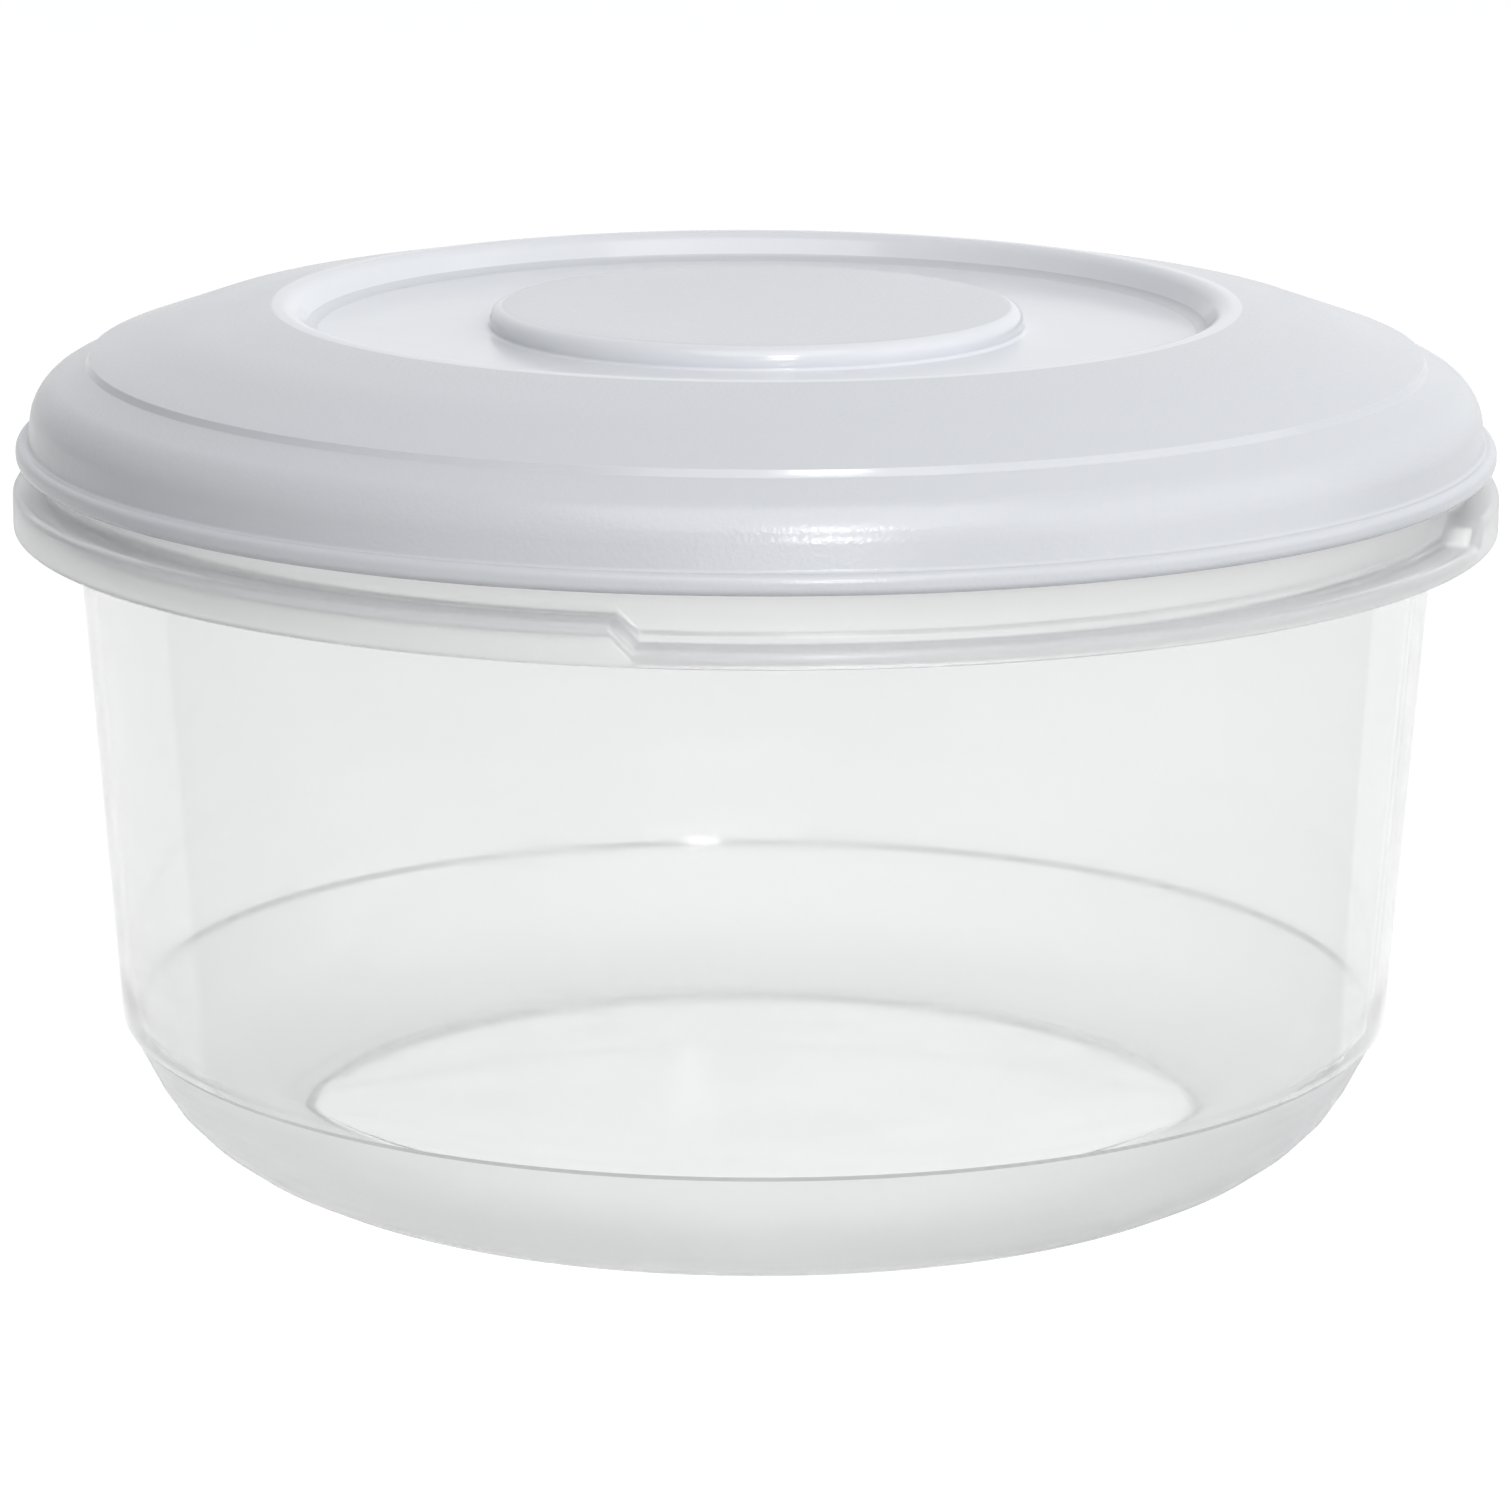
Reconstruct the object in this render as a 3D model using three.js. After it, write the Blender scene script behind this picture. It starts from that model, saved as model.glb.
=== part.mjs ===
import * as THREE from 'three';
import { mergeVertices } from 'three/addons/utils/BufferGeometryUtils.js';

// Round food box: a clear tub with a stepped rim, and a push-on lid with a knob in a sunken well.
// Millimetres, +Z up, heights measured from the plane the tub stands on.

const degree = Math.PI / 180;

// Tub
const tubWall = 2;
const rimRadius = 120; // outer edge of the rim
const rimHeight = 104.5; // lower edge of the rim's skirt
const ledgeWidth = 6.2; // top of the rim, from the collar to the outer edge
const lipDrop = 0.8; // skirt below the low ledge's underside
const ledgeRise = 3.7; // high ledge above the low ledge
const ledgeRound = 1.2; // along the ledge's outer edge
const ledgeFillet = 1.8; // between ledge and collar
const notchAngle = 80.8 * degree; // arc of each low ledge, where fingers reach under the lid
const rampAngle = 45 * degree; // slope between low and high ledge
const collarRise = 13.7; // collar's top above the high ledge
const collarRound = 0.6;
const snapDrop = 3.4; // middle of the snap bead below the collar's top
const snapHalf = 1.5; // half of the snap bead's height
const snapProud = 0.7;
const shelfWidth = 3.9; // step between the wall and the wider collar
const shelfExtra = 0.3; // how much thicker the step is than the wall
const wallTaper = 4.1 * degree;
const creaseHeight = 23.6; // line where the clear wall ends and the frosted bowl starts
const creaseStep = 0.4; // bowl set back under the wall
const bowlSlope = 26.8 * degree; // upper part of the bowl, from the vertical
const bowlRound = 25.9; // bowl's curve down to the foot
const footWidth = 4.8; // flat ring that the tub stands on
const panelRise = 2.2; // base panel above the foot
const panelRun = 1.8; // slope at the panel's edge
const panelRound = 1;

// Lid
const lidWall = 1.8;
const seatGap = 0.3; // between the lid's seat and the collar's top
const fitGap = 0.4; // between lid and collar, sideways
const edgeGap = 4.1; // between the lid's lower edge and the high ledge
const ribDrop = 6; // middle of the snap rib below the seat
const ribHalf = 1; // half of the snap rib's height
const ribProud = 0.7;
const plugWall = 1.4; // ring that goes inside the collar
const plugDepth = 6.5;
const plugLead = 0.7; // taper at the plug's lower edge
const grooveRound = 1.4; // outer corner of the groove for the collar
const skirtDraft = 6 * degree;
const beadHeight = 3.2; // bead along the lid's lower edge
const beadProud = 2;
const beadRound = 1.3;
const beadFillet = 0.6;
const shoulderRound = 7.6;
const coneSlope = 25.4 * degree; // band between shoulder and dome
const ridgeInset = 11.2; // ridge, inwards from the skirt
const ridgeRise = 6.3; // cone above the seat, under the ridge
const ridgeRun = 2.1; // ridge's flank, down to the cone
const ridgeProud = 0.65; // dome's edge above the cone
const ridgeRound = 1.4;
const domeRound = 89;
const crestRadius = 75; // highest ring, around the well
const crestRise = 14.6; // highest ring above the seat
const crestSlope = 5 * degree;
const crestRound = 3;
const wellRadius = 72;
const wellDepth = 4.6;
const wellFillet = 2.2;
const knobRadius = 43.8;
const knobRise = 3.7; // knob's top above the well's floor
const knobRound = 2.5;
const knobUndercut = 1; // knob's foot is narrower than its top
const knobFillet = 0.8;

// Facets
const arcError = 0.15; // how far a facet may lie from its arc
const notchFacets = 6; // from a notch's middle to its ramp
const highFacets = 8; // from a ramp to the high ledge's middle

// Sizes that follow from these
const collarRadius = rimRadius - ledgeWidth;
const collarBore = collarRadius - tubWall;
const wallRadius = collarRadius - shelfWidth;
const lowLedge = rimHeight + lipDrop + tubWall;
const highLedge = lowLedge + ledgeRise;
const collarTop = highLedge + collarRise;
const seat = collarTop + seatGap;
const plugRadius = collarBore - fitGap;
const skirtRadius = collarRadius + snapProud + fitGap + ribProud + lidWall;
const lidBottom = highLedge + edgeGap;

// Outlines are lines of corners, each [radius, height, rounding].

// Where two lines cross, each given by a corner and a direction.
function crossing([r1, z1], [dr1, dz1], [r2, z2], [dr2, dz2]) {
  const along = ((r2 - r1) * dz2 - (z2 - z1) * dr2) / (dr1 * dz2 - dz1 * dr2);
  return [r1 + along * dr1, z1 + along * dz1];
}

// The other face of a wall, on the left of a line of corners.
function otherFace(corners, thickness) {
  const at = corners.map(([r, z]) => new THREE.Vector2(r, z));
  const runs = at.slice(1).map((end, i) => end.clone().sub(at[i]).normalize());
  const sides = runs.map((run) => new THREE.Vector2(-run.y, run.x));
  return corners.map(([, , rounding = 0], i) => {
    const before = sides[Math.max(i - 1, 0)];
    const after = sides[Math.min(i, sides.length - 1)];
    const shift = before.clone().add(after).multiplyScalar(thickness / (1 + before.dot(after)));
    const turn = Math.sign(before.cross(after));
    const { x, y } = at[i].clone().add(shift);
    return [x, y, rounding && Math.max(rounding - turn * thickness, 0)];
  });
}

// A line of corners as points, with an arc at each corner that has a rounding.
function rounded(corners) {
  const at = corners.map(([r, z]) => new THREE.Vector2(r, z));
  const arcs = corners.map(([, , rounding = 0], i) => {
    if (!rounding) return null;
    const back = at[i - 1].clone().sub(at[i]).normalize();
    const ahead = at[i + 1].clone().sub(at[i]).normalize();
    const half = Math.acos(THREE.MathUtils.clamp(back.dot(ahead), -1, 1)) / 2;
    const facet = 2 * Math.acos(Math.max(1 - arcError / rounding, 0.5));
    const steps = Math.max(1, Math.ceil((Math.PI - 2 * half) / facet));
    return { back, ahead, half, steps, reach: rounding / Math.tan(half) };
  });

  // Two arcs on one straight share its length.
  for (let i = 1; i < at.length; i++) {
    const pair = [arcs[i - 1], arcs[i]].filter(Boolean);
    const wanted = pair.reduce((sum, arc) => sum + arc.reach, 0);
    const room = 0.98 * at[i].distanceTo(at[i - 1]);
    if (wanted > room) pair.forEach((arc) => (arc.reach *= room / wanted));
  }

  return at.flatMap((corner, i) => {
    if (!arcs[i]) return [corner];
    const { back, ahead, half, steps, reach } = arcs[i];
    const inwards = back.clone().add(ahead).normalize();
    const centre = corner.clone().addScaledVector(inwards, reach / Math.cos(half));
    const start = corner.clone().addScaledVector(back, reach);
    const turn = (2 * half - Math.PI) * Math.sign(back.cross(ahead));
    const angles = Array.from({ length: steps + 1 }, (_, k) => (turn * k) / steps);
    return angles.map((angle) => start.clone().rotateAround(centre, angle));
  });
}

// A body of revolution whose columns each have an angle and an outline of their own.
// The angle is zero at the front, on -Y, and grows towards +X.
function revolve(columns) {
  const count = columns[0].outline.length;
  const geometry = new THREE.LatheGeometry(columns[0].outline, columns.length);
  const position = geometry.getAttribute('position');
  [...columns, columns[0]].forEach(({ angle, outline }, i) => {
    outline.forEach(({ x: radius, y: height }, j) => {
      position.setXYZ(i * count + j, radius * Math.sin(angle), -radius * Math.cos(angle), height);
    });
  });
  geometry.deleteAttribute('normal');
  geometry.deleteAttribute('uv');
  const closed = mergeVertices(geometry);
  closed.computeVertexNormals();
  return closed;
}

// Columns round the whole rim: two low ledges, at front and back, and a ramp at each of their ends.
function rimColumns() {
  const rampTurn = ledgeRise / Math.tan(rampAngle) / (rimRadius - ledgeWidth / 2);
  const rampFoot = (notchAngle - rampTurn) / 2;
  const rampHead = (notchAngle + rampTurn) / 2;
  const step = (from, to, facets, high) =>
    Array.from({ length: facets + 1 }, (_, i) => ({ angle: from + ((to - from) * i) / facets, high }));

  const quarter = [
    ...step(0, rampFoot, notchFacets, false),
    ...step(rampHead, Math.PI / 2, highFacets, true),
  ];
  const mirrored = quarter.slice(1, -1).reverse();
  const half = [...quarter, ...mirrored.map(({ angle, high }) => ({ angle: Math.PI - angle, high }))];
  return [...half, ...half.map(({ angle, high }) => ({ angle: Math.PI + angle, high }))];
}

// The tub with its ledge at one height: up the outside, down the inside.
function tubOutline(ledge) {
  const down = [-Math.sin(bowlSlope), -Math.cos(bowlSlope)];
  const creaseRadius = wallRadius - (rimHeight - creaseHeight) * Math.tan(wallTaper);
  const bowlTop = [creaseRadius - creaseStep, creaseHeight - creaseStep];
  const bowlCorner = crossing(bowlTop, down, [0, 0], [1, 0]);
  const footRadius = bowlCorner[0] - bowlRound * Math.tan(Math.PI / 4 - bowlSlope / 2);
  const footBore = footRadius - footWidth;
  const base = [
    [0, panelRise],
    [footBore - panelRun, panelRise, panelRound],
    [footBore, 0, panelRound],
    [...bowlCorner, bowlRound],
  ];
  const wall = [
    [creaseRadius, creaseHeight],
    [wallRadius, rimHeight],
  ];
  const lining = otherFace([...base, ...wall], tubWall).reverse();

  const skirtBore = rimRadius - tubWall;
  const roof = ledge - tubWall;
  const rim = [
    [collarRadius, lowLedge - tubWall - shelfExtra],
    [collarRadius, roof],
    [skirtBore, roof],
    [skirtBore, rimHeight],
    [rimRadius, rimHeight],
    [rimRadius, ledge, ledgeRound],
    [collarRadius, ledge, ledgeFillet],
  ];
  const snap = collarTop - snapDrop;
  const collar = [
    [collarRadius, snap - snapHalf],
    [collarRadius + snapProud, snap],
    [collarRadius, snap + snapHalf],
    [collarRadius, collarTop, collarRound],
    [collarBore, collarTop, collarRound],
    [collarBore, lowLedge],
    [lining[0][0], lowLedge],
  ];
  return rounded([...base, bowlTop, ...wall, ...rim, ...collar, ...lining]);
}

// The lid: from the middle out underneath to the lower edge, and back over the top.
function lidOutline() {
  const beadTop = lidBottom + beadHeight;
  const floor = seat + crestRise - wellDepth;
  const crest = [crestRadius, seat + crestRise];
  const ridge = [skirtRadius - ridgeInset, seat + ridgeRise];
  const skirtTop = [skirtRadius, beadTop];
  const alongCrest = [Math.cos(crestSlope), -Math.sin(crestSlope)];
  const alongCone = [Math.cos(coneSlope), -Math.sin(coneSlope)];
  const alongSkirt = [Math.sin(skirtDraft), -Math.cos(skirtDraft)];

  const onRidge = (run, rise) => [
    ridge[0] + run * Math.cos(coneSlope) + rise * Math.sin(coneSlope),
    ridge[1] - run * Math.sin(coneSlope) + rise * Math.cos(coneSlope),
  ];
  const domeEdge = onRidge(0, ridgeProud);
  const middle = [
    [0, floor + knobRise],
    [knobRadius, floor + knobRise, knobRound],
    [knobRadius - knobUndercut, floor, knobFillet],
    [wellRadius, floor, wellFillet],
    [...crest, crestRound],
  ];
  const dome = [
    [...crossing(crest, alongCrest, domeEdge, alongCone), domeRound],
    [...domeEdge, ridgeRound],
    onRidge(ridgeRun, 0),
  ];
  const coneTop = [...crossing(crest, alongCrest, ridge, alongCone), domeRound];
  const shoulder = [...crossing(ridge, alongCone, skirtTop, alongSkirt), shoulderRound];
  const under = otherFace([...middle, coneTop, shoulder, skirtTop], -lidWall);
  const bead = [
    [...skirtTop, beadFillet],
    [skirtRadius + beadProud, beadTop, beadRound],
    [skirtRadius + beadProud, lidBottom, beadRound],
  ];

  const skirtEnd = under.at(-1);
  const skirtBore = (height) => crossing(skirtEnd, alongSkirt, [0, height], [1, 0])[0];
  const rib = seat - ribDrop;
  const skirtInside = [
    [skirtBore(lidBottom), lidBottom],
    [skirtBore(rib - ribHalf), rib - ribHalf],
    [skirtBore(rib) - ribProud, rib],
    [skirtBore(rib + ribHalf), rib + ribHalf],
    [skirtBore(seat), seat, grooveRound],
  ];
  const plugBore = plugRadius - plugWall;
  const plugEnd = seat - plugDepth;
  const plug = [
    [plugRadius, seat],
    [plugRadius, plugEnd + 2 * plugLead],
    [plugRadius - plugLead, plugEnd],
    [plugBore, plugEnd],
    crossing([plugBore, seat], [0, 1], under[middle.length], alongCone),
  ];
  const underTop = under.slice(0, middle.length + 1).reverse();
  return rounded([...middle, ...dome, shoulder, ...bead, ...skirtInside, ...plug, ...underTop]).reverse();
}

const columns = rimColumns();
const highTub = tubOutline(highLedge);
const lowTub = tubOutline(lowLedge);
const lidSection = lidOutline();

const tub = new THREE.Mesh(
  revolve(columns.map(({ angle, high }) => ({ angle, outline: high ? highTub : lowTub }))),
  new THREE.MeshStandardMaterial({
    color: 0xe8eaeb,
    roughness: 0.12,
    metalness: 0,
    transparent: true,
    opacity: 0.35,
  }),
);
tub.name = 'tub';

const lid = new THREE.Mesh(
  revolve(columns.map(({ angle }) => ({ angle, outline: lidSection }))),
  new THREE.MeshStandardMaterial({ color: 0xcfd2d6, roughness: 0.35, metalness: 0 }),
);
lid.name = 'lid';

const box = new THREE.Group();
box.name = 'round_food_box';
box.add(tub, lid);

export default box;
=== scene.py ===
from math import atan2, ceil, cos, hypot, pi, radians, sin, tan

import bmesh
import bpy
from mathutils import Euler, Matrix, Vector


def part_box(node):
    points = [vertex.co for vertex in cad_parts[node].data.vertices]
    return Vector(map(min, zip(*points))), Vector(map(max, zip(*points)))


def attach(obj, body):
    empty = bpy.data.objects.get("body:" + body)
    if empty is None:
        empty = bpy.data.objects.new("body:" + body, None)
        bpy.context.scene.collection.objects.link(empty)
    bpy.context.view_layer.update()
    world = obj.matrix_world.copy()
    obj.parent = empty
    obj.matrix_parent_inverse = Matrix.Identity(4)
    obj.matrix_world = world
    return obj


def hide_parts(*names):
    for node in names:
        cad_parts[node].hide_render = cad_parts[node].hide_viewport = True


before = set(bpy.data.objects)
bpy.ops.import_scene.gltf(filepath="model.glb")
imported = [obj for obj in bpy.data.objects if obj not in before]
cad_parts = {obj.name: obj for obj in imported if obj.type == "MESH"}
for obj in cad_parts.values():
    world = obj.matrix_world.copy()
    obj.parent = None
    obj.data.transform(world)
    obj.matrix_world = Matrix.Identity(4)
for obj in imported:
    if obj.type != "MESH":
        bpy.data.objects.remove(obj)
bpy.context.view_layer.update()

mm = 0.001
leastRound = 0.2 * mm  # on the other face of a wall
mergeGap = 0.002 * mm  # points nearer than this are one point
viewTurn = radians(-31.1)  # the photo looks at the box from this side, counted from -Y towards +X
print("frame:", ", ".join(sorted(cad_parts)))


# sections: lines of corners (radius, height, rounding), drawn as wire and spun

def crossing(cornerA, alongA, cornerB, alongB):
    gap = Vector(cornerB[:2]) - Vector(cornerA[:2])
    reach = gap.cross(Vector(alongB)) / Vector(alongA).cross(Vector(alongB))
    return tuple(Vector(cornerA[:2]) + reach * Vector(alongA))


# the other face of a wall, on the left of a line of corners
def otherFace(corners, thickness):
    at = [Vector(corner[:2]) for corner in corners]
    runs = [(end - start).normalized() for start, end in zip(at, at[1:])]
    sides = [Vector((-run.y, run.x)) for run in runs]
    face = []
    for i, corner in enumerate(corners):
        before = sides[max(i - 1, 0)]
        after = sides[min(i, len(sides) - 1)]
        shift = (before + after) * (thickness / (1 + before.dot(after)))
        bend = before.cross(after)
        rounding = corner[2] if len(corner) > 2 else 0
        if rounding and bend:
            rounding = max(rounding - thickness * (1 if bend > 0 else -1), leastRound)
        face.append((*(at[i] + shift), rounding))
    return face


# draws the corners on the -Y side, rounds them with bevel and splits long straights
def drawSection(bm, corners, longest=6 * mm, facet=radians(11)):
    verts = [bm.verts.new((0, -corner[0], corner[1])) for corner in corners]
    for start, end in zip(verts, verts[1:]):
        bm.edges.new((start, end))
    at = [Vector(corner[:2]) for corner in corners]
    for i, corner in enumerate(corners):
        if len(corner) < 3 or not corner[2]:
            continue
        turn = (at[i] - at[i - 1]).angle(at[i + 1] - at[i])
        bmesh.ops.bevel(bm, geom=[verts[i]], offset=corner[2] * tan(turn / 2), affect='VERTICES',
                        segments=max(2, ceil(turn / facet)), profile=0.5, material=-1)
    for edge in [edge for edge in bm.edges if edge.calc_length() > 1.5 * longest]:
        bmesh.ops.subdivide_edges(bm, edges=[edge], cuts=int(edge.calc_length() / longest))


# turns the section from -Y to +X through a chain of arcs (angle, steps), then mirrors it twice
def spinSection(bm, arcs):
    front = bm.verts[:] + bm.edges[:]
    for angle, steps in arcs:
        front = bmesh.ops.spin(bm, geom=front, cent=(0, 0, 0), axis=(0, 0, 1), angle=angle,
                               steps=steps)["geom_last"]
    for axis in 'XY':
        part = bm.verts[:] + bm.edges[:] + bm.faces[:]
        bmesh.ops.mirror(bm, geom=part, axis=axis, merge_dist=mergeGap)
    bmesh.ops.remove_doubles(bm, verts=bm.verts, dist=mergeGap)
    bmesh.ops.recalc_face_normals(bm, faces=bm.faces)


def finishPiece(name, bm, materials, body, node):
    for face in bm.faces:
        face.smooth = True
    mesh = bpy.data.meshes.new(name)
    bm.to_mesh(mesh)
    bm.free()
    for material in materials:
        mesh.materials.append(material)
    piece = bpy.data.objects.new(name, mesh)
    bpy.context.scene.collection.objects.link(piece)
    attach(piece, body)
    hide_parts(node)
    print(name, "faces:", len(mesh.polygons))


# materials

def addNode(tree, kind, **settings):
    node = tree.nodes.new(kind)
    for name, value in settings.items():
        setattr(node, name, value)
    return node


def newMaterial(name):
    material = bpy.data.materials.new(name)
    material.use_nodes = True
    material.node_tree.nodes.clear()
    return material, material.node_tree


def newGroup(name, inputs, outputs):
    group = bpy.data.node_groups.new(name, 'ShaderNodeTree')
    for side, labels in (('INPUT', inputs), ('OUTPUT', outputs)):
        for label in labels:
            kind = 'NodeSocketVector' if label == "Vector" else 'NodeSocketFloat'
            group.interface.new_socket(label, in_out=side, socket_type=kind)
    return group, addNode(group, 'NodeGroupInput'), addNode(group, 'NodeGroupOutput')


# fine spark texture from the mould
def makeMouldGrain():
    group, given, made = newGroup("mould grain", ["Vector", "Scale"], ["Height"])
    grain = addNode(group, 'ShaderNodeTexNoise')
    grain.inputs["Detail"].default_value = 1
    group.links.new(given.outputs["Vector"], grain.inputs["Vector"])
    group.links.new(given.outputs["Scale"], grain.inputs["Scale"])
    group.links.new(grain.outputs["Fac"], made.inputs["Height"])
    return group


handlingMarks = {
    "smearScale": 26,
    "streakScale": 60,
    "streakSquash": 14,  # makes the streaks run round the box
    "faintest": 0.12,  # noise that counts as clean
    "strongest": 0.42,  # noise that counts as rubbed
}


# soft smears and fine rubbed streaks round the box, as a roughness between two values
def makeHandling():
    group, given, made = newGroup("handling", ["Vector", "Clean", "Rubbed"], ["Roughness", "Mask"])
    smear = addNode(group, 'ShaderNodeTexNoise')
    smear.inputs["Scale"].default_value = handlingMarks["smearScale"]
    smear.inputs["Detail"].default_value = 1
    squash = addNode(group, 'ShaderNodeMapping')
    squash.inputs["Scale"].default_value = (1, 1, handlingMarks["streakSquash"])
    streak = addNode(group, 'ShaderNodeTexNoise')
    streak.inputs["Scale"].default_value = handlingMarks["streakScale"]
    streak.inputs["Detail"].default_value = 2
    mask = addNode(group, 'ShaderNodeMath', operation='MULTIPLY')
    spread = addNode(group, 'ShaderNodeMapRange')
    spread.inputs["From Min"].default_value = handlingMarks["faintest"]
    spread.inputs["From Max"].default_value = handlingMarks["strongest"]
    group.links.new(given.outputs["Vector"], smear.inputs["Vector"])
    group.links.new(given.outputs["Vector"], squash.inputs["Vector"])
    group.links.new(squash.outputs["Vector"], streak.inputs["Vector"])
    group.links.new(smear.outputs["Fac"], mask.inputs[0])
    group.links.new(streak.outputs["Fac"], mask.inputs[1])
    group.links.new(mask.outputs[0], spread.inputs["Value"])
    group.links.new(given.outputs["Clean"], spread.inputs["To Min"])
    group.links.new(given.outputs["Rubbed"], spread.inputs["To Max"])
    group.links.new(spread.outputs["Result"], made.inputs["Roughness"])
    group.links.new(mask.outputs[0], made.inputs["Mask"])
    return group


mouldGrain = makeMouldGrain()
handling = makeHandling()


# gives a shader its colour, its grain and its handling marks
def dressShader(tree, shader, look):
    place = addNode(tree, 'ShaderNodeTexCoord')
    marks = addNode(tree, 'ShaderNodeGroup', node_tree=handling)
    marks.inputs["Clean"].default_value = look["clean"]
    marks.inputs["Rubbed"].default_value = look["rubbed"]
    grain = addNode(tree, 'ShaderNodeGroup', node_tree=mouldGrain)
    grain.inputs["Scale"].default_value = look["grainScale"]
    bump = addNode(tree, 'ShaderNodeBump')
    bump.inputs["Strength"].default_value = look["grainStrength"]
    bump.inputs["Distance"].default_value = look["grainDepth"]
    tree.links.new(place.outputs["Object"], marks.inputs["Vector"])
    tree.links.new(place.outputs["Object"], grain.inputs["Vector"])
    tree.links.new(grain.outputs["Height"], bump.inputs["Height"])
    tree.links.new(bump.outputs["Normal"], shader.inputs["Normal"])
    tree.links.new(marks.outputs["Roughness"], shader.inputs["Roughness"])
    tint = addNode(tree, 'ShaderNodeMix', data_type='RGBA')
    tint.inputs["A"].default_value = (*look["colour"], 1)
    tint.inputs["B"].default_value = (*look["colourRubbed"], 1)
    tree.links.new(marks.outputs["Mask"], tint.inputs["Factor"])
    colour = tint.outputs["Result"]
    if "foot" in look:  # painted shade: darker towards the foot, where the bowl looks down at the floor's shadow
        height = addNode(tree, 'ShaderNodeSeparateXYZ')
        rise = addNode(tree, 'ShaderNodeMapRange', interpolation_type='SMOOTHSTEP')
        rise.inputs["From Max"].default_value = look["footHeight"]
        blend = addNode(tree, 'ShaderNodeMix', data_type='RGBA')
        blend.inputs["A"].default_value = (*look["foot"], 1)
        tree.links.new(place.outputs["Object"], height.inputs["Vector"])
        tree.links.new(height.outputs["Z"], rise.inputs["Value"])
        tree.links.new(rise.outputs["Result"], blend.inputs["Factor"])
        tree.links.new(colour, blend.inputs["B"])
        colour = blend.outputs["Result"]
    tree.links.new(colour, shader.inputs["Base Color"])


paintedLidGlow = (0.94, 0.96, 1, 1)  # colour of the painted glow inside the lid, in place of daylight through the thin wall
lidLooks = {
    "grained": {
        "colour": (0.602, 0.615, 0.645), "colourRubbed": (0.612, 0.625, 0.655),
        "clean": 0.22, "rubbed": 0.26,
        "grainScale": 1300, "grainStrength": 0.6, "grainDepth": 0.08 * mm,
    },
    "polished, painted light": {
        # painted light: the same plastic as the grained finish, coloured lighter so the well, its
        # walls and the grip disc's edge look brighter
        "colour": (0.722, 0.736, 0.770), "colourRubbed": (0.740, 0.754, 0.788),
        "clean": 0.12, "rubbed": 0.20,
        "grainScale": 900, "grainStrength": 0.05, "grainDepth": 0.03 * mm,
    },
    "step": {
        "colour": (0.618, 0.631, 0.662), "colourRubbed": (0.628, 0.641, 0.672),
        "clean": 0.13, "rubbed": 0.17,
        "grainScale": 900, "grainStrength": 0.1, "grainDepth": 0.03 * mm,
    },
    "inside": {
        "colour": (0.600, 0.612, 0.640), "colourRubbed": (0.632, 0.644, 0.672),
        "clean": 0.30, "rubbed": 0.40,
        "grainScale": 1100, "grainStrength": 0.2, "grainDepth": 0.06 * mm,
        "glow": 0.30,  # painted glow, in place of daylight that comes through the thin wall
    },
}


def makeLidPlastic(finish):
    material, tree = newMaterial("lid plastic, " + finish)
    shader = addNode(tree, 'ShaderNodeBsdfPrincipled')
    dressShader(tree, shader, lidLooks[finish])
    # painted light: the inside finish glows in place of daylight through the wall
    shader.inputs["Emission Color"].default_value = paintedLidGlow
    shader.inputs["Emission Strength"].default_value = lidLooks[finish].get("glow", 0)
    end = addNode(tree, 'ShaderNodeOutputMaterial')
    tree.links.new(shader.outputs["BSDF"], end.inputs["Surface"])
    return material


clearIor = 1.49
clearShade = (0.93, 0.93, 0.93, 1)  # light that goes straight through a wall
flowMarks = {"grainScale": 45, "grainStrength": 0.03, "grainDepth": 0.10 * mm}  # faint waves
clearLooks = {
    "gloss": {
        "colour": (0.965, 0.967, 0.967), "colourRubbed": (0.950, 0.952, 0.952), "clear": 0.925,
        "clean": 0.03, "rubbed": 0.09, **flowMarks,
    },
    "bowl lining": {
        "colour": (0.970, 0.972, 0.972), "colourRubbed": (0.955, 0.957, 0.957), "clear": 0.98,
        "clean": 0.05, "rubbed": 0.12, **flowMarks,
    },
    "crease": {
        # painted shade: a dark, less clear line along the crease where shade falls
        "colour": (0.56, 0.56, 0.56), "colourRubbed": (0.50, 0.50, 0.50), "clear": 0.70,
        "clean": 0.30, "rubbed": 0.40, **flowMarks,
    },
    "rim": {
        "colour": (0.965, 0.965, 0.962), "colourRubbed": (0.950, 0.950, 0.947), "clear": 0.80,
        "clean": 0.29, "rubbed": 0.32, **flowMarks,
    },
    "frosted": {
        "colour": (0.975, 0.977, 0.977), "colourRubbed": (0.960, 0.962, 0.962), "clear": 0.94,
        "clean": 0.42, "rubbed": 0.52,
        "grainScale": 2200, "grainStrength": 0.25, "grainDepth": 0.05 * mm,
        # painted shade, darker towards the bowl's foot
        "foot": (0.84, 0.84, 0.84), "footHeight": 14 * mm,
    },
}


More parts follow.
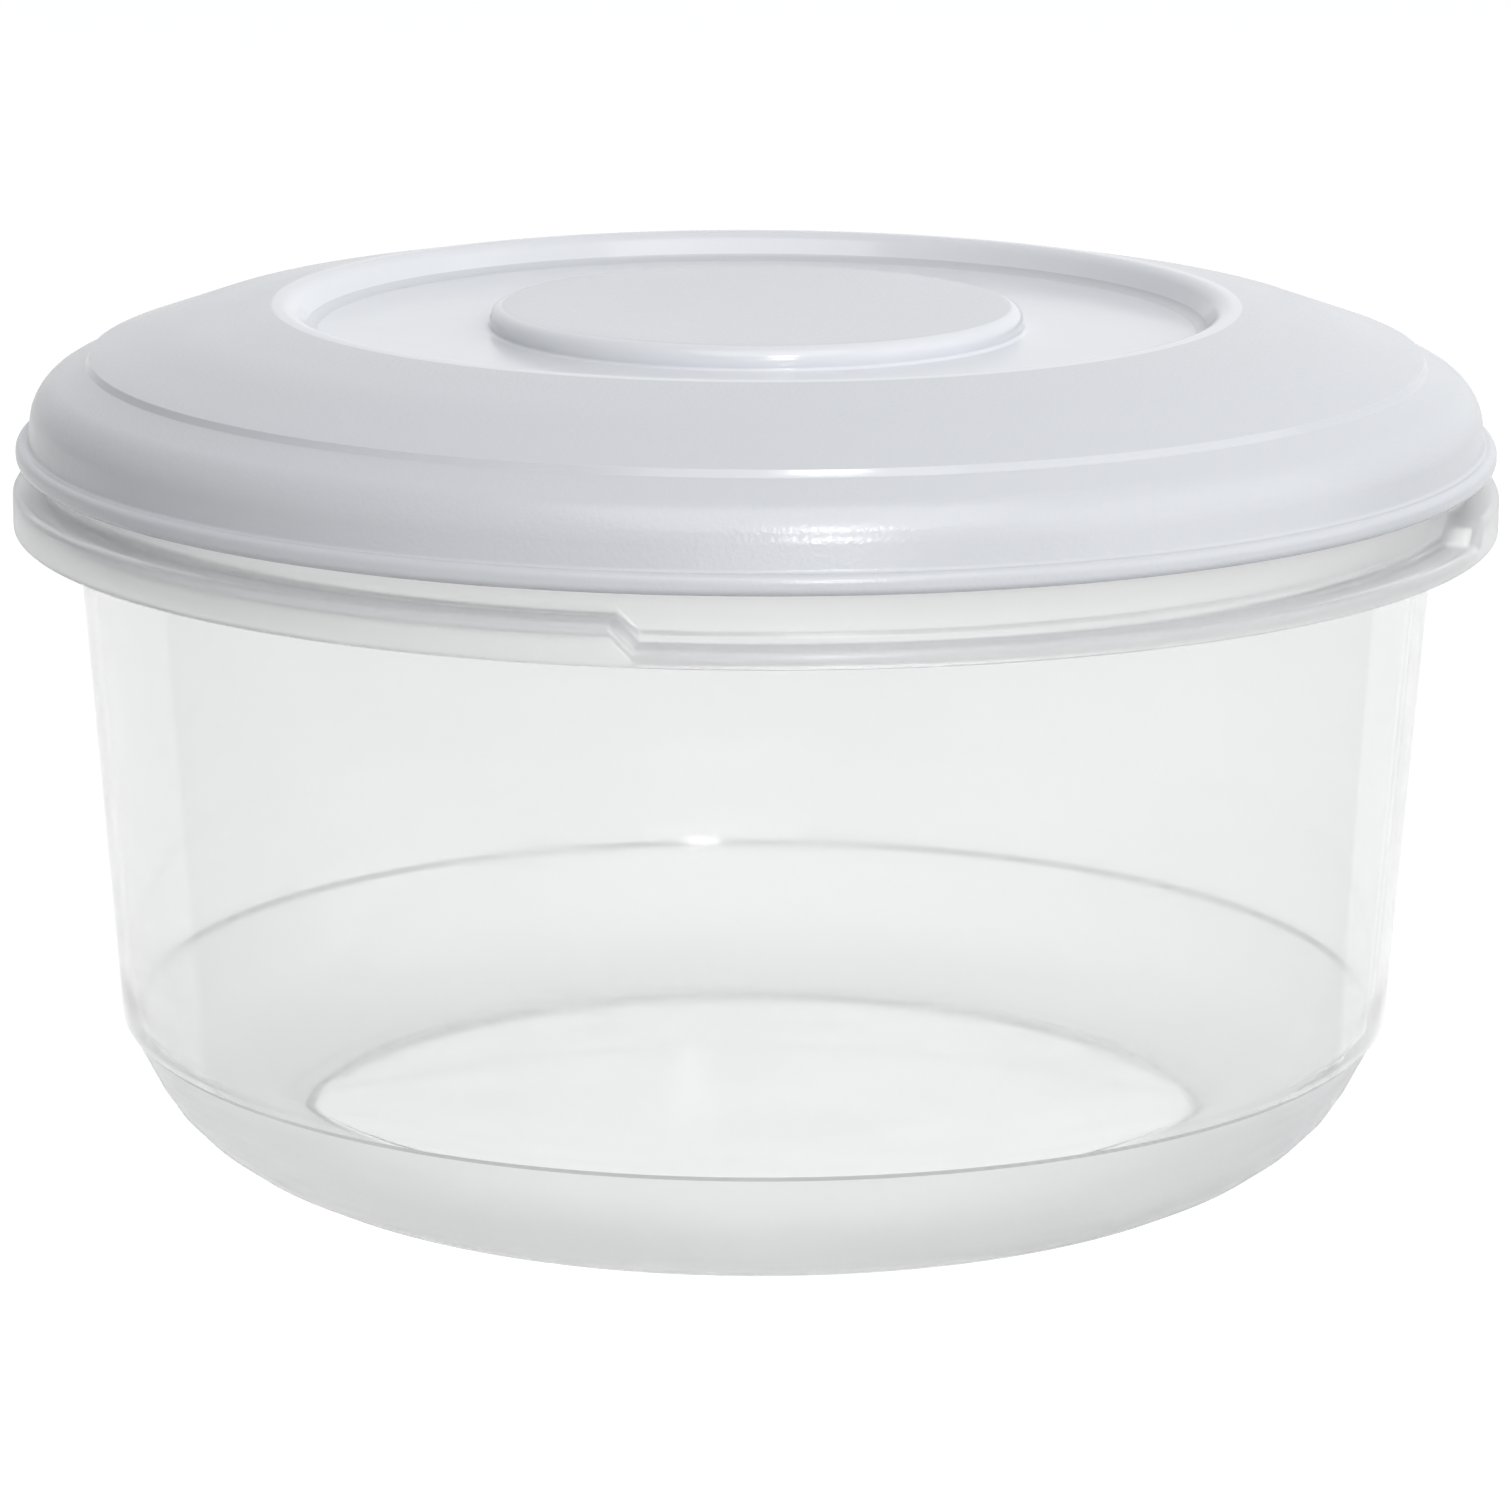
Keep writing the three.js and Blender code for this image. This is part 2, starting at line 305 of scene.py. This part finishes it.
# clear plastic that lets the studio light through to the floor and to the inside
def makeClearPlastic(finish):
    material, tree = newMaterial("clear plastic, " + finish)
    look = clearLooks[finish]
    shader = addNode(tree, 'ShaderNodeBsdfPrincipled')
    shader.inputs["Transmission Weight"].default_value = look["clear"]
    shader.inputs["IOR"].default_value = clearIor
    dressShader(tree, shader, look)
    through = addNode(tree, 'ShaderNodeBsdfTransparent')
    through.inputs["Color"].default_value = clearShade
    path = addNode(tree, 'ShaderNodeLightPath')
    lightRay = addNode(tree, 'ShaderNodeMath', operation='MAXIMUM')
    choose = addNode(tree, 'ShaderNodeMixShader')
    end = addNode(tree, 'ShaderNodeOutputMaterial')
    tree.links.new(path.outputs["Is Shadow Ray"], lightRay.inputs[0])
    tree.links.new(path.outputs["Is Diffuse Ray"], lightRay.inputs[1])
    tree.links.new(lightRay.outputs[0], choose.inputs["Fac"])
    tree.links.new(shader.outputs["BSDF"], choose.inputs[1])
    tree.links.new(through.outputs["BSDF"], choose.inputs[2])
    tree.links.new(choose.outputs["Shader"], end.inputs["Surface"])
    return material


# tub: clear wall, frosted bowl, and a rim whose ledge drops at front and back

tubSize = {
    "wall": 2 * mm,
    "rimRadius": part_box("tub")[1].x,
    "rimHeight": 104.5 * mm,  # lower edge of the rim's skirt
    "ledgeWidth": 6.2 * mm,
    "lipDrop": 0.8 * mm,  # skirt below the low ledge's underside
    "ledgeRise": 3.7 * mm,  # high ledge above the low one
    "ledgeRound": 1.2 * mm,
    "ledgeFillet": 1.8 * mm,
    "edgeRound": 0.5 * mm,
    "notchAngle": radians(80.8),  # arc of each low ledge
    "rampSlope": radians(45),
    "rampEase": 0.15,  # share of the ramp that is rounded at each end
    "collarTop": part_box("tub")[1].z,
    "collarRound": 0.6 * mm,
    "snapDrop": 3.4 * mm,  # collar's bead below its top
    "snapHalf": 1.5 * mm,
    "snapProud": 0.7 * mm,
    "shelfWidth": 3.9 * mm,  # from the wall out to the collar
    "shelfExtra": 0.3 * mm,  # shelf below the low ledge's underside
    "innerRound": 0.8 * mm,
    "taper": radians(4.1),
    "creaseHeight": 23.6 * mm,
    "creaseStep": 0.8 * mm,
    "creaseRound": 0.15 * mm,
    "liningRound": 15 * mm,  # inside, across the crease
    "bowlSlope": radians(26.8),
    "bowlRound": 25.9 * mm,
    "footWidth": 1.6 * mm,
    "baseRadius": 73.5 * mm,  # clear inside this, frosted outside
    "panelRise": 2.2 * mm,
    "panelRun": 1.2 * mm,
    "panelRound": 0.6 * mm,
    "skirtKeep": 1 * mm,  # of the skirt, above its rounded edge, that stays level
    "slack": 0.1 * mm,  # for telling points and faces by their place
    "columns": 320,  # round the whole box
    "rampColumns": 14,
}


# up the outside and down the inside, with the ledge at its high level
def tubSection(size):
    collarRadius = size["rimRadius"] - size["ledgeWidth"]
    collarBore = collarRadius - size["wall"]
    wallRadius = collarRadius - size["shelfWidth"]
    skirtBore = size["rimRadius"] - size["wall"]
    lowLedge = size["rimHeight"] + size["lipDrop"] + size["wall"]
    ledge = lowLedge + size["ledgeRise"]
    roof = ledge - size["wall"]
    snap = size["collarTop"] - size["snapDrop"]
    creaseRadius = wallRadius - (size["rimHeight"] - size["creaseHeight"]) * tan(size["taper"])
    bowlTop = (creaseRadius - size["creaseStep"], size["creaseHeight"] - size["creaseStep"])
    down = (-sin(size["bowlSlope"]), -cos(size["bowlSlope"]))
    bowlCorner = crossing(bowlTop, down, (0, 0), (1, 0))
    footRadius = bowlCorner[0] - size["bowlRound"] * tan(pi / 4 - size["bowlSlope"] / 2)
    footBore = footRadius - size["footWidth"]
    edge, inner = size["edgeRound"], size["innerRound"]

    base = [
        (0, size["panelRise"]),
        (footBore - size["panelRun"], size["panelRise"], size["panelRound"]),
        (footBore, 0, size["panelRound"]),
        (*bowlCorner, size["bowlRound"]),
    ]
    wall = [
        (creaseRadius, size["creaseHeight"], size["creaseRound"]),
        (wallRadius, size["rimHeight"], inner),
    ]
    lining = otherFace(base + wall, size["wall"])[::-1]
    lining[1] = (*lining[1][:2], size["liningRound"])
    rim = [
        (collarRadius, lowLedge - size["wall"] - size["shelfExtra"], edge / 2),
        (collarRadius, roof, inner),
        (skirtBore, roof, inner),
        (skirtBore, size["rimHeight"], edge),
        (size["rimRadius"], size["rimHeight"], edge),
        (size["rimRadius"], ledge, size["ledgeRound"]),
        (collarRadius, ledge, size["ledgeFillet"]),
    ]
    collar = [
        (collarRadius, snap - size["snapHalf"], inner),
        (collarRadius + size["snapProud"], snap, inner),
        (collarRadius, snap + size["snapHalf"], inner / 2),
        (collarRadius, size["collarTop"], size["collarRound"]),
        (collarBore, size["collarTop"], size["collarRound"]),
        (collarBore, lowLedge, 2 * inner),
        (lining[0][0], lowLedge, inner),
    ]
    lining[0] = (lining[0][0], lining[0][1], inner)
    return base + [(*bowlTop, size["creaseRound"])] + wall + rim + collar + lining


# lowers the ledge, its roof and its fillet over each notch, with a straight ramp at its ends
def dropLedge(bm, size, rampHalf):
    ease = size["rampEase"]
    innermost = size["rimRadius"] - size["ledgeWidth"] - size["slack"]
    lowest = size["rimHeight"] + size["edgeRound"] + size["skirtKeep"]
    ledge = size["rimHeight"] + size["lipDrop"] + size["wall"] + size["ledgeRise"]
    highest = ledge + size["ledgeFillet"] + size["slack"]
    for vert in bm.verts:
        radius = hypot(vert.co.x, vert.co.y)
        if radius < innermost or not lowest < vert.co.z < highest:
            continue
        fromNotch = abs(atan2(vert.co.x, abs(vert.co.y)))
        along = (fromNotch - size["notchAngle"] / 2 + rampHalf) / (2 * rampHalf)
        along = min(max(along, 0), 1)
        toEnd = min(along, 1 - along)
        rise = toEnd * toEnd / ease / 2 if toEnd < ease else toEnd - ease / 2
        high = rise / (1 - ease) if along < 0.5 else 1 - rise / (1 - ease)
        vert.co.z -= size["ledgeRise"] * (1 - high)


def makeTub(size):
    bm = bmesh.new()
    drawSection(bm, tubSection(size))
    rampRun = size["ledgeRise"] / tan(size["rampSlope"]) / (1 - size["rampEase"])
    rampHalf = rampRun / 2 / (size["rimRadius"] - size["ledgeWidth"] / 2)
    halfLow = size["notchAngle"] / 2 - rampHalf
    halfHigh = pi / 2 - size["notchAngle"] / 2 - rampHalf
    perColumn = 2 * pi / size["columns"]
    spinSection(bm, [(halfLow, ceil(halfLow / perColumn)), (2 * rampHalf, size["rampColumns"]),
                     (halfHigh, ceil(halfHigh / perColumn))])
    dropLedge(bm, size, rampHalf)
    finishes = list(clearLooks)
    for face in bm.faces:
        middle = face.calc_center_median()
        outwards = Vector((middle.x, middle.y, 0)).normalized() - Vector((0, 0, 1))
        outside = face.normal.dot(outwards) > 0
        step = size["creaseHeight"] - middle.z
        finish = "gloss"
        if middle.z > size["rimHeight"] - 2 * size["slack"]:
            finish = "rim"
        # the crease step takes the painted shade
        elif outside and -2 * size["slack"] < step < size["creaseStep"] + size["slack"]:
            finish = "crease"
        elif step > 0:
            onBase = hypot(middle.x, middle.y) < size["baseRadius"]
            finish = "frosted" if outside and not onBase else "bowl lining"
        face.material_index = finishes.index(finish)
    plastics = [makeClearPlastic(finish) for finish in finishes]
    finishPiece("clear_tub", bm, plastics, "tub", "tub")


# lid: domed shell with a grip disc in a well, a ridge, a bead and a plug that goes inside the collar

lidSize = {
    "wall": 1.8 * mm,
    "seatGap": 0.3 * mm,  # above the collar
    "fitGap": 0.4 * mm,  # between plug and collar
    "bottom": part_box("lid")[0].z,
    "beadRadius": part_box("lid")[1].x,
    "ribDrop": 6 * mm,  # snap rib below the seat
    "ribHalf": 1 * mm,
    "ribProud": 0.7 * mm,
    "ribRound": 0.4 * mm,
    "mouthRound": 0.3 * mm,  # inner edge of the opening
    "plugWall": 1.4 * mm,
    "plugDepth": 6.5 * mm,
    "plugLead": 0.7 * mm,
    "plugRound": 0.4 * mm,
    "plugEdge": 0.2 * mm,
    "plugFillet": 0.8 * mm,
    "grooveRound": 1.4 * mm,
    "skirtDraft": radians(6),
    "beadHeight": 3.2 * mm,
    "beadProud": 2 * mm,
    "beadRound": 1.3 * mm,
    "beadFillet": 0.6 * mm,
    "shoulderRound": 7.6 * mm,
    "coneSlope": radians(25.4),
    "ridgeInset": 11.2 * mm,
    "ridgeRise": 6.3 * mm,
    "ridgeTop": 1.0 * mm,  # along the cone, to the dome's edge
    "ridgeFoot": 2.0 * mm,  # along the cone, to the shoulder
    "ridgeProud": 0.8 * mm,  # dome's edge above the shoulder
    "ridgeRound": 1.2 * mm,
    "ridgeFillet": 0.3 * mm,
    "stepStart": 0.3 * mm,  # outside the ridge, where the step's finish starts
    "domeRound": 89 * mm,
    "crestRadius": 75.0 * mm,
    "crestRise": 14.6 * mm,
    "crestSlope": radians(5),
    "crestRound": 3 * mm,
    "wellRadius": 72.0 * mm,
    "wellDepth": 4.6 * mm,
    "wellFillet": 2.2 * mm,
    "wellFoot": 1.15 * mm,  # grained foot of the well's slope
    "knobRadius": 43.8 * mm,
    "knobRise": 3.7 * mm,
    "knobRound": 2.5 * mm,
    "knobUndercut": 0.9 * mm,
    "knobFillet": 0.8 * mm,
    "underTilt": 0.3,  # faces that look down by more than this are inside
    "columns": 240,
}


# from the middle out over the top to the lower edge, and back underneath
def lidSection(size, tub):
    seat = tub["collarTop"] + size["seatGap"]
    skirtRadius = size["beadRadius"] - size["beadProud"]
    plugRadius = tub["rimRadius"] - tub["ledgeWidth"] - tub["wall"] - size["fitGap"]
    beadTop = size["bottom"] + size["beadHeight"]
    floor = seat + size["crestRise"] - size["wellDepth"]
    crest = (size["crestRadius"], seat + size["crestRise"])
    ridge = (skirtRadius - size["ridgeInset"], seat + size["ridgeRise"])
    skirtTop = (skirtRadius, beadTop)
    alongCrest = (cos(size["crestSlope"]), -sin(size["crestSlope"]))
    alongCone = (cos(size["coneSlope"]), -sin(size["coneSlope"]))
    alongSkirt = (sin(size["skirtDraft"]), -cos(size["skirtDraft"]))

    def onRidge(run, rise):
        return (ridge[0] + run * alongCone[0] - rise * alongCone[1],
                ridge[1] + run * alongCone[1] + rise * alongCone[0])

    ridgeTop = onRidge(size["ridgeTop"], size["ridgeProud"])
    middle = [
        (0, floor + size["knobRise"]),
        (size["knobRadius"], floor + size["knobRise"], size["knobRound"]),
        (size["knobRadius"] - size["knobUndercut"], floor, size["knobFillet"]),
        (size["wellRadius"], floor, size["wellFillet"]),
        (*crest, size["crestRound"]),
    ]
    top = middle + [(*crossing(crest, alongCrest, ridgeTop, alongCone), size["domeRound"])]
    shoulder = (*crossing(ridge, alongCone, skirtTop, alongSkirt), size["shoulderRound"])
    coneStart = (*crossing(crest, alongCrest, ridge, alongCone), size["domeRound"])
    under = otherFace(middle + [coneStart, shoulder, skirtTop], -size["wall"])
    ridgeLine = [
        (*ridgeTop, size["ridgeRound"]),
        (*onRidge(size["ridgeFoot"], 0), size["ridgeFillet"]),
    ]
    bead = [
        (*skirtTop, size["beadFillet"]),
        (size["beadRadius"], beadTop, size["beadRound"]),
        (size["beadRadius"], size["bottom"], size["beadRound"]),
    ]

    def skirtBore(height):
        return crossing(under[-1], alongSkirt, (0, height), (1, 0))[0]

    rib = seat - size["ribDrop"]
    plugBore = plugRadius - size["plugWall"]
    plugEnd = seat - size["plugDepth"]
    inside = [
        (skirtBore(size["bottom"]), size["bottom"], size["mouthRound"]),
        (skirtBore(rib - size["ribHalf"]), rib - size["ribHalf"], size["ribRound"]),
        (skirtBore(rib) - size["ribProud"], rib, size["ribRound"]),
        (skirtBore(rib + size["ribHalf"]), rib + size["ribHalf"], size["ribRound"]),
        (skirtBore(seat), seat, size["grooveRound"]),
        (plugRadius, seat, size["plugRound"]),
        (plugRadius, plugEnd + 2 * size["plugLead"], size["plugRound"]),
        (plugRadius - size["plugLead"], plugEnd, size["plugEdge"]),
        (plugBore, plugEnd, size["plugEdge"]),
        (*crossing((plugBore, seat), (0, 1), under[len(top) - 1], alongCone), size["plugFillet"]),
    ]
    return top + ridgeLine + [shoulder] + bead + inside + under[:len(top)][::-1]


def makeLid(size, tub):
    bm = bmesh.new()
    drawSection(bm, lidSection(size, tub))
    spinSection(bm, [(pi / 2, size["columns"] // 4)])
    seat = tub["collarTop"] + size["seatGap"]
    collarRadius = tub["rimRadius"] - tub["ledgeWidth"]
    ridgeRadius = size["beadRadius"] - size["beadProud"] - size["ridgeInset"]
    wellStart = size["knobRadius"] - size["knobRound"]
    wellEnd = size["crestRadius"] + size["crestRound"]
    footStart = size["wellRadius"] - size["wellFillet"]
    footTop = seat + size["crestRise"] - size["wellDepth"] + size["wellFoot"]
    finishes = list(lidLooks)
    for face in bm.faces:
        middle = face.calc_center_median()
        radius = hypot(middle.x, middle.y)
        under = radius < collarRadius if middle.z < seat else face.normal.z < -size["underTilt"]
        onWell = wellStart < radius < wellEnd
        onFoot = radius > footStart and middle.z < footTop
        onStep = size["stepStart"] < radius - ridgeRadius < size["ridgeFoot"] and middle.z > seat
        finish = "grained"
        # faces underneath take the inside finish with its painted glow
        if under:
            finish = "inside"
        elif onStep:
            finish = "step"
        # the well and the grip disc's edge take the lighter, painted-light colour
        elif onWell and not onFoot:
            finish = "polished, painted light"
        face.material_index = finishes.index(finish)
    plastics = [makeLidPlastic(finish) for finish in finishes]
    finishPiece("push_on_lid", bm, plastics, "lid", "lid")


makeTub(tubSize)
makeLid(lidSize, tubSize)


# stage: white floor that keeps a soft shadow, light, camera

stage = {
    "floorRadius": 9.0,
    "floorSides": 96,
    "floorDrop": 0.2 * mm,  # below the foot ring
    "floorTone": 0.60,  # how much light the floor throws back
    "floorGlow": 0.86,  # what the camera sees of the floor in full shadow
    "shadowTone": 0.30,  # how much the light on the floor adds to that
    "frontTone": 0.55,  # floor in front, as the wall mirrors it
    "edgeLeft": 0.52,  # edges of the floor's bright part, which opens backwards from the front
    "edgeRight": 0.73,
    "edgeStart": -103 * mm,
    "edgeBlur": 4 * mm,
    "roomColour": (0.776, 0.788, 0.80, 1),
    "roomTone": 0.10,
    "roomBack": 1.17,  # room brighter behind the box
    "roomRight": 0.65,
    "lampAim": 70 * mm,  # height that the lamps point at
    "bounces": 16,  # light turns many times inside the clear rim
    "clamp": 40,  # lets the small lamp's glint on the crease show
}


# a point round the box: turn to the right of the photo's view, height angle, distance
def fromView(turn, elevation, distance):
    azimuth = viewTurn + radians(turn)
    level = distance * cos(radians(elevation))
    return Vector((level * sin(azimuth), -level * cos(azimuth), distance * sin(radians(elevation))))


# white floor: a shadow shows on it, gloss mirrors it darker in front, and glass shows it white
def makeFloor():
    material, tree = newMaterial("white floor")
    path = addNode(tree, 'ShaderNodeLightPath')
    place = addNode(tree, 'ShaderNodeTexCoord')
    turned = addNode(tree, 'ShaderNodeMapping')
    turned.inputs["Rotation"].default_value = (0, 0, -viewTurn)
    sides = addNode(tree, 'ShaderNodeSeparateXYZ')
    toLeft = addNode(tree, 'ShaderNodeMath', operation='MULTIPLY')
    toLeft.inputs[1].default_value = -stage["edgeLeft"]
    toRight = addNode(tree, 'ShaderNodeMath', operation='MULTIPLY')
    toRight.inputs[1].default_value = stage["edgeRight"]
    aside = addNode(tree, 'ShaderNodeMath', operation='MAXIMUM')
    behind = addNode(tree, 'ShaderNodeMath', operation='SUBTRACT')
    mirrored = addNode(tree, 'ShaderNodeMapRange')
    mirrored.inputs["From Min"].default_value = stage["edgeStart"] - stage["edgeBlur"]
    mirrored.inputs["From Max"].default_value = stage["edgeStart"] + stage["edgeBlur"]
    mirrored.inputs["To Min"].default_value = stage["frontTone"]
    level = addNode(tree, 'ShaderNodeMix', data_type='FLOAT')
    level.inputs["A"].default_value = 1
    strength = addNode(tree, 'ShaderNodeMath', operation='MULTIPLY')
    strength.inputs[1].default_value = stage["floorGlow"]
    tree.links.new(place.outputs["Object"], turned.inputs["Vector"])
    tree.links.new(turned.outputs["Vector"], sides.inputs["Vector"])
    tree.links.new(sides.outputs["X"], toLeft.inputs[0])
    tree.links.new(sides.outputs["X"], toRight.inputs[0])
    tree.links.new(toLeft.outputs[0], aside.inputs[0])
    tree.links.new(toRight.outputs[0], aside.inputs[1])
    tree.links.new(sides.outputs["Y"], behind.inputs[0])
    tree.links.new(aside.outputs[0], behind.inputs[1])
    tree.links.new(behind.outputs[0], mirrored.inputs["Value"])
    tree.links.new(path.outputs["Is Glossy Ray"], level.inputs["Factor"])
    tree.links.new(mirrored.outputs["Result"], level.inputs["B"])
    tree.links.new(level.outputs["Result"], strength.inputs[0])

    lit = addNode(tree, 'ShaderNodeBsdfDiffuse')
    lit.inputs["Color"].default_value = (stage["floorTone"],) * 3 + (1,)
    shadowed = addNode(tree, 'ShaderNodeBsdfDiffuse')
    shadowed.inputs["Color"].default_value = (stage["shadowTone"],) * 3 + (1,)
    glow = addNode(tree, 'ShaderNodeEmission')
    seen = addNode(tree, 'ShaderNodeAddShader')
    white = addNode(tree, 'ShaderNodeEmission')
    gloss = addNode(tree, 'ShaderNodeMath', operation='MAXIMUM')
    either = addNode(tree, 'ShaderNodeMixShader')
    glass = addNode(tree, 'ShaderNodeMixShader')
    end = addNode(tree, 'ShaderNodeOutputMaterial')
    tree.links.new(strength.outputs[0], glow.inputs["Strength"])
    tree.links.new(shadowed.outputs["BSDF"], seen.inputs[0])
    tree.links.new(glow.outputs["Emission"], seen.inputs[1])
    tree.links.new(path.outputs["Is Camera Ray"], gloss.inputs[0])
    tree.links.new(path.outputs["Is Glossy Ray"], gloss.inputs[1])
    tree.links.new(gloss.outputs[0], either.inputs["Fac"])
    tree.links.new(lit.outputs["BSDF"], either.inputs[1])
    tree.links.new(seen.outputs["Shader"], either.inputs[2])
    tree.links.new(path.outputs["Is Transmission Ray"], glass.inputs["Fac"])
    tree.links.new(either.outputs["Shader"], glass.inputs[1])
    tree.links.new(white.outputs["Emission"], glass.inputs[2])
    tree.links.new(glass.outputs["Shader"], end.inputs["Surface"])

    bm = bmesh.new()
    bmesh.ops.create_circle(bm, cap_ends=True, radius=stage["floorRadius"],
                            segments=stage["floorSides"])
    mesh = bpy.data.meshes.new("floor")
    bm.to_mesh(mesh)
    bm.free()
    mesh.materials.append(material)
    floor = bpy.data.objects.new("floor", mesh)
    bpy.context.scene.collection.objects.link(floor)
    floor.location.z = -stage["floorDrop"]


# room: brighter behind and to the right, and white where the camera sees it, also through glass
def makeRoom():
    world = bpy.data.worlds.new("studio room")
    bpy.context.scene.world = world
    world.use_nodes = True
    tree = world.node_tree
    tree.nodes.clear()
    place = addNode(tree, 'ShaderNodeTexCoord')
    path = addNode(tree, 'ShaderNodeLightPath')
    room = addNode(tree, 'ShaderNodeBackground')
    room.inputs["Color"].default_value = stage["roomColour"]
    white = addNode(tree, 'ShaderNodeBackground')
    white.inputs["Color"].default_value = (1, 1, 1, 1)
    seen = addNode(tree, 'ShaderNodeMath', operation='MAXIMUM')
    choose = addNode(tree, 'ShaderNodeMixShader')
    end = addNode(tree, 'ShaderNodeOutputWorld')
    level = None
    for turn, tone in ((180, stage["roomBack"]), (90, stage["roomRight"])):
        towards = addNode(tree, 'ShaderNodeVectorMath', operation='DOT_PRODUCT')
        towards.inputs[1].default_value = fromView(turn, 0, 1)
        share = addNode(tree, 'ShaderNodeMath', operation='MAXIMUM')
        share.inputs[1].default_value = 0
        total = addNode(tree, 'ShaderNodeMath', operation='MULTIPLY_ADD')
        total.inputs[1].default_value = tone
        total.inputs[2].default_value = stage["roomTone"]
        tree.links.new(place.outputs["Generated"], towards.inputs[0])
        tree.links.new(towards.outputs["Value"], share.inputs[0])
        tree.links.new(share.outputs[0], total.inputs[0])
        if level:
            tree.links.new(level, total.inputs[2])
        level = total.outputs[0]
    tree.links.new(level, room.inputs["Strength"])
    tree.links.new(path.outputs["Is Camera Ray"], seen.inputs[0])
    tree.links.new(path.outputs["Is Transmission Ray"], seen.inputs[1])
    tree.links.new(seen.outputs[0], choose.inputs["Fac"])
    tree.links.new(room.outputs["Background"], choose.inputs[1])
    tree.links.new(white.outputs["Background"], choose.inputs[2])
    tree.links.new(choose.outputs["Shader"], end.inputs["Surface"])


lamps = {
    "key box": {"turn": 12.5, "elevation": 38, "distance": 1.3, "size": 0.22, "power": 2.5},
    "front box": {"turn": 8, "elevation": 60, "distance": 1.4, "size": 1.2, "power": 8.4},
    "low box": {"turn": 6, "elevation": 6, "distance": 1.4, "size": 0.8, "power": 2.6},
    "spark": {"turn": 11, "elevation": 20, "distance": 1.4, "size": 0.14, "power": 2.8},
    "side box": {"turn": 75, "elevation": 25, "distance": 1.6, "size": 1.6, "power": 5.2},
}


def makeLamps():
    aim = Vector((0, 0, stage["lampAim"]))
    for name, lamp in lamps.items():
        light = bpy.data.lights.new(name, 'AREA')
        light.shape = 'SQUARE'
        light.size = lamp["size"]
        light.energy = lamp["power"]
        holder = bpy.data.objects.new(name, light)
        holder.location = aim + fromView(lamp["turn"], lamp["elevation"], lamp["distance"])
        holder.rotation_euler = (aim - holder.location).to_track_quat('-Z', 'Y').to_euler()
        holder.visible_camera = False
        bpy.context.scene.collection.objects.link(holder)


camera = {
    "lens": 144.9,  # both in mm
    "sensor": 36,
    "level": 972.0 * mm,  # distance from the box's axis
    "height": 293.1 * mm,
    "pitch": 0.2316,
    "roll": 0.0037,
}


def makeCamera():
    data = bpy.data.cameras.new("camera")
    data.lens = camera["lens"]
    data.sensor_width = camera["sensor"]
    holder = bpy.data.objects.new("camera", data)
    holder.location = fromView(0, 0, camera["level"]) + Vector((0, 0, camera["height"]))
    aim = Euler((pi / 2 - camera["pitch"], 0, viewTurn)).to_matrix()
    holder.rotation_euler = (aim @ Matrix.Rotation(camera["roll"], 3, 'Z')).to_euler()
    bpy.context.scene.collection.objects.link(holder)
    bpy.context.scene.camera = holder


makeFloor()
makeRoom()
makeLamps()
makeCamera()
bpy.context.scene.view_settings.view_transform = 'Standard'
for kind in ("max_bounces", "glossy_bounces", "transmission_bounces"):
    setattr(bpy.context.scene.cycles, kind, stage["bounces"])
bpy.context.scene.cycles.sample_clamp_indirect = stage["clamp"]
print("stage: floor, room,", len(lamps), "lamps, camera")
